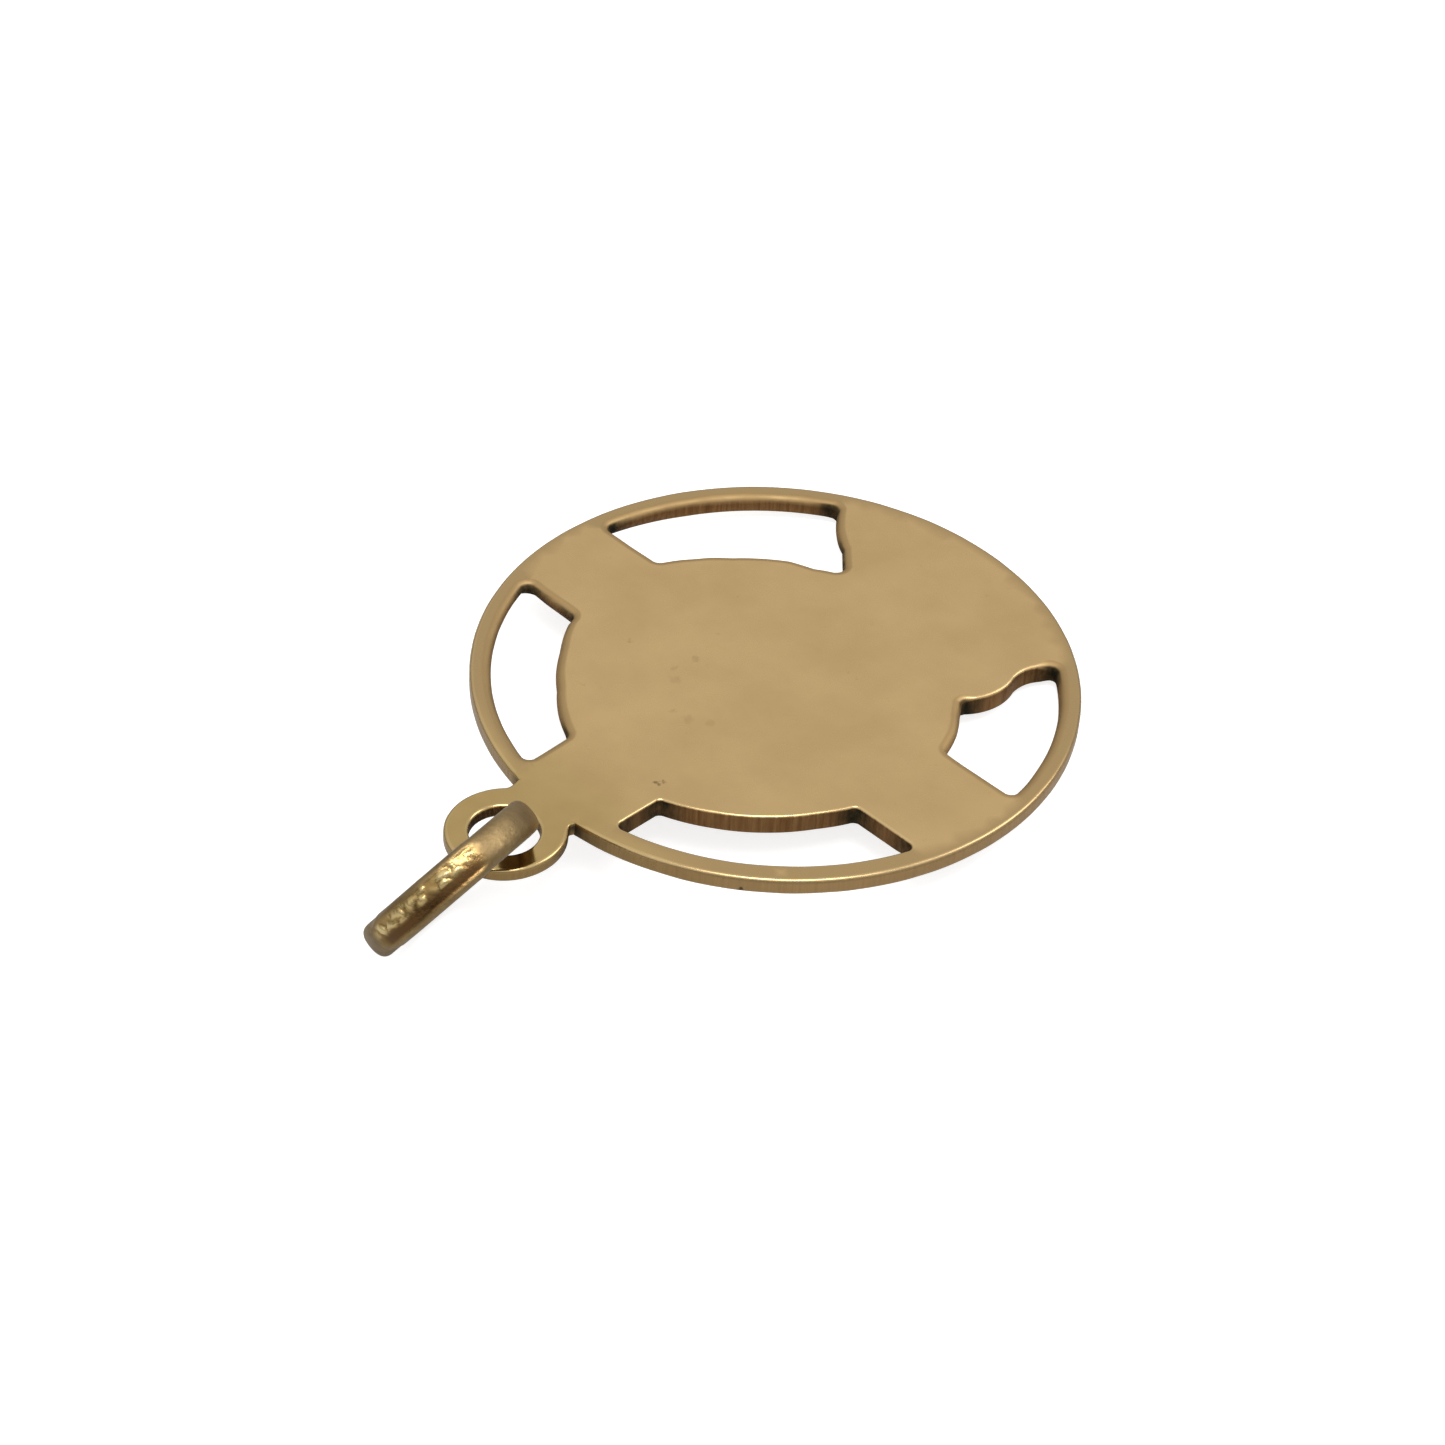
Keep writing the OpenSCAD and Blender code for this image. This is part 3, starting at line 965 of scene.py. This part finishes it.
def sheet_gold(name):
    """Satin sheet gold: cloudy polish on the faces, greener and glossier from
    the neck to the eye, with sawn walls darkened partly by painted shade, painted shade in the
    corners, and painted highlights along the edges."""
    finish, tree, bsdf = metal(name)
    plain = millimetres(tree)
    neck = along_y(tree, plain, NECK_FROM, NECK_TO)
    sawn = mottle(tree, millimetres(tree, (5, 5, 0.25)), 1.3, 3.0, 0.6, 0.3, 0.7)
    stain_and_shade = mottle(tree, millimetres(tree, (1, 1, 0.7)), 2.2, 4.0, 0.6, 0.3, 0.62, (0.5, 1.0))
    dirt_and_shade = times(tree, noted(tree, "grime"), stain_and_shade)
    tree.links.new(sheet_colour(tree, plain, neck, sawn, dirt_and_shade), bsdf.inputs["Base Color"])
    tree.links.new(sheet_roughness(tree, plain, neck, dirt_and_shade), bsdf.inputs["Roughness"])
    ripple = mottle(tree, plain, 0.45, 1.0)
    grain = mottle(tree, millimetres(tree, (6, 0.6, 1), 0.35), 1.6, 3.0)
    striae = times(tree, sawn, noted(tree, "wall"))
    raised(tree, bsdf, (ripple, 0.2, 0.05), (grain, 0.05, 0.02), (striae, 0.7, 0.03))
    return finish


def sheet_colour(tree, plain, neck, sawn, dirt_and_shade):
    """The sheet's colours, from the plain face to the dirt and painted shade in its corners.
    """
    cloud = mottle(tree, plain, 0.33, 3.0, 0.55, 0.32, 0.68)
    specks = mottle(tree, plain, 1.7, 4.0, 0.6, 0.68, 0.80)
    light = blend(tree, neck, LIGHT_GOLD, NECK_LIGHT)
    deep = blend(tree, neck, DEEP_GOLD, NECK_DEEP)
    face = blend(tree, cloud, light, deep)
    face = blend(tree, times(tree, specks, 0.22), face, SPECK)
    # the rim painted darker, as shade
    face = blend(tree, noted(tree, "dull"), face, RIM_SHADE)
    # soft edges painted darker, as shade
    face = blend(tree, times(tree, noted(tree, "soft"), 0.8), face, SOFT_EDGE_SHADE)
    # the walls' colour, darkened partly as painted shade
    wall = blend(tree, sawn, SAWN_AND_SHADED_DARK, SAWN_AND_SHADED_LIGHT)
    colour = blend(tree, noted(tree, "wall"), face, wall)
    # painted highlight along the rounded edges
    colour = blend(tree, times(tree, noted(tree, "edge"), 0.45), colour, EDGE_HIGHLIGHT_PAINT)
    # dirt, with painted shade in the windows' corners and the eye's hole
    colour = blend(tree, dirt_and_shade, colour, DIRT_AND_SHADE)
    return blend(tree, small_marks(tree, plain, MARKS), colour, STAIN)


def sheet_roughness(tree, plain, neck, dirt_and_shade):
    """Cloudy polish, glossier at the neck, duller on walls, worn edges, and where dirt and
    painted shade are noted.
    """
    total = mottle(tree, plain, 0.8, 3.0, 0.5, 0.3, 0.7, (0.22, 0.34))
    for kind, value, share in (("SUBTRACT", neck, 0.1), ("ADD", noted(tree, "soft"), 0.3),
                               ("ADD", noted(tree, "wall"), 0.16), ("ADD", dirt_and_shade, 0.3)):
        total = worked(tree, kind, total, times(tree, value, share))
    return total


def bail_gold():
    """The bail's wire: dull and scuffed, bright where it was struck, dark in the struck hollow
    from dirt and painted shade.
    """
    finish, tree, bsdf = metal("bail gold")
    plain = millimetres(tree)
    cloud = mottle(tree, plain, 0.9, 3.0, 0.6, 0.3, 0.7)
    scuff = mottle(tree, plain, 6.0, 4.0, 0.7, 0.42, 0.7)
    dull = blend(tree, cloud, WIRE_LIGHT, WIRE_DARK)
    dull = blend(tree, times(tree, scuff, 0.4), dull, SCUFFED)
    colour = blend(tree, noted(tree, "struck"), dull, STRUCK_GOLD)
    # dirt and painted shade in the struck hollow
    colour = blend(tree, times(tree, noted(tree, "grime"), 0.9), colour, HOLLOW_DIRT_AND_SHADE)
    colour = blend(tree, noted(tree, "edge"), colour, POLISHED)
    tree.links.new(colour, bsdf.inputs["Base Color"])
    matt = mottle(tree, plain, 2.0, 3.0, 0.5, 0.3, 0.7, (0.34, 0.5))
    bright = times(tree, noted(tree, "struck"), 0.28)
    tree.links.new(worked(tree, "SUBTRACT", matt, bright), bsdf.inputs["Roughness"])
    raised(tree, bsdf, (cloud, 0.3, 0.06), (scuff, 0.35, 0.02))
    return finish


# -------------------------------------------------------------------- pieces
def add_piece(name, data, body, node, finish):
    """A finished piece in place of its CAD node."""
    if not data.materials:
        data.materials.append(finish)
    data.materials[0] = finish
    piece = bpy.data.objects.new(name, data)
    bpy.context.scene.collection.objects.link(piece)
    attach(piece, body)
    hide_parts(node)


def add_pieces():
    """The disc, the eye and the bail."""
    bail_finish = bail_gold()
    add_piece("pierced_disc", disc_mesh(), "token", "disc",
              sheet_gold("disc gold"))
    add_piece("soldered_eye", eye_mesh(), "token", "eye", sheet_gold("eye gold"))
    add_piece("bail_ring", bail_mesh(bail_finish), "bail", "bail", bail_finish)


# --------------------------------------------------------------------- stage
def resting_plane():
    """Tilt and height of the surface under the pendant, which lies on the
    disc's far edge and on the bail."""
    points = np.array([v.co for n in frame["nodes"].values() for v in n.data.vertices])
    near = points[points[:, 1] < BAIL_SIDE]
    far = points[points[:, 1] > DISC_SIDE]
    tilt = 0.0
    for _ in range(40):
        lean = np.array([-math.sin(tilt), math.cos(tilt)])
        foot = near[np.argmin(near[:, 1:] @ lean)]
        heel = far[np.argmin(far[:, 1:] @ lean)]
        tilt = math.atan2(heel[2] - foot[2], heel[1] - foot[1])
    return tilt, foot


def add_floor():
    """A plain pale floor, clear white to the eye, that keeps a soft shadow."""
    tilt, foot = resting_plane()
    bm = bmesh.new()
    bmesh.ops.create_circle(bm, cap_ends=True, segments=96, radius=FLOOR_RADIUS)
    turn = Matrix.Translation(Vector((0, foot[1], foot[2]))) @ Matrix.Rotation(tilt, 4, "X")
    bmesh.ops.transform(bm, matrix=turn, verts=bm.verts)
    data = bpy.data.meshes.new("floor")
    bm.to_mesh(data)
    bm.free()
    floor = bpy.data.objects.new("floor", data)
    bpy.context.scene.collection.objects.link(floor)
    data.materials.append(floor_paint())


def floor_paint():
    """White to the eye, with the object's soft shadow kept."""
    paint = bpy.data.materials.new("floor paint")
    paint.use_nodes = True
    tree = paint.node_tree
    tree.nodes.clear()
    link = tree.links.new
    rays, board, glow, both, out = new_nodes(
        tree, "ShaderNodeLightPath", "ShaderNodeBsdfDiffuse", "ShaderNodeEmission",
        "ShaderNodeAddShader", "ShaderNodeOutputMaterial")
    board.inputs["Color"].default_value = (FLOOR_GREY, FLOOR_GREY, FLOOR_GREY, 1)
    link(times(tree, rays.outputs["Is Camera Ray"], FLOOR_GLOW), glow.inputs["Strength"])
    link(board.outputs[0], both.inputs[0])
    link(glow.outputs[0], both.inputs[1])
    link(both.outputs[0], out.inputs["Surface"])
    return paint


def add_world():
    """A pale room, bright overhead and darker towards the horizon. Seen
    directly, it is plain white."""
    world = bpy.data.worlds.new("room")
    bpy.context.scene.world = world
    world.use_nodes = True
    tree = world.node_tree
    sky = tree.nodes["Background"]
    where, parts, sheen, rays = new_nodes(tree, "ShaderNodeTexCoord", "ShaderNodeSeparateXYZ",
                                          "ShaderNodeValToRGB", "ShaderNodeLightPath")
    tree.links.new(where.outputs["Object"], parts.inputs[0])
    tree.links.new(parts.outputs["Z"], sheen.inputs["Fac"])
    stops = sheen.color_ramp.elements
    for height, _ in SKY[1:-1]:
        stops.new(height)
    for stop, (_, level) in zip(stops, SKY):
        stop.color = (level, level, level * SKY_WARMTH, 1)
    seen = blend(tree, rays.outputs["Is Camera Ray"], sheen.outputs["Color"], WHITE)
    tree.links.new(seen, sky.inputs["Color"])


def add_light(name, azimuth, elevation, distance, size, power):
    """A soft square lamp that looks at the pendant."""
    data = bpy.data.lights.new(name, "AREA")
    data.shape, data.size, data.energy = "SQUARE", size, power
    lamp = bpy.data.objects.new(name, data)
    lamp.location = from_angles(azimuth, elevation) * distance
    lamp.rotation_mode = "QUATERNION"
    lamp.rotation_quaternion = lamp.location.to_track_quat("Z", "Y")
    lamp.visible_camera = False
    bpy.context.scene.collection.objects.link(lamp)


def from_angles(azimuth, elevation):
    """Unit direction; azimuth 0 is -Y and 90 is +X."""
    a, e = math.radians(azimuth), math.radians(elevation)
    return Vector((math.sin(a) * math.cos(e), -math.cos(a) * math.cos(e), math.sin(e)))


def add_camera():
    """The view from above the eye's right-hand side."""
    aim = Vector((*VIEW_AIM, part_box("disc")[1].z))
    data = bpy.data.cameras.new("camera")
    data.lens, data.sensor_width = VIEW_LENS, 36
    data.clip_start, data.clip_end = 0.005, 10
    camera = bpy.data.objects.new("camera", data)
    back = from_angles(VIEW_AZIMUTH, VIEW_ELEVATION)
    camera.rotation_mode = "QUATERNION"
    camera.location = aim + back * VIEW_DISTANCE
    level = (-back).to_track_quat("-Z", "Y")
    roll = Matrix.Rotation(math.radians(VIEW_ROLL), 3, "Z").to_quaternion()
    camera.rotation_quaternion = level @ roll
    bpy.context.scene.collection.objects.link(camera)
    bpy.context.scene.camera = camera


bpy.context.scene.view_settings.view_transform = "Standard"
add_pieces()
add_floor()
add_world()
for lamp in LAMPS:
    add_light(*lamp)
add_camera()
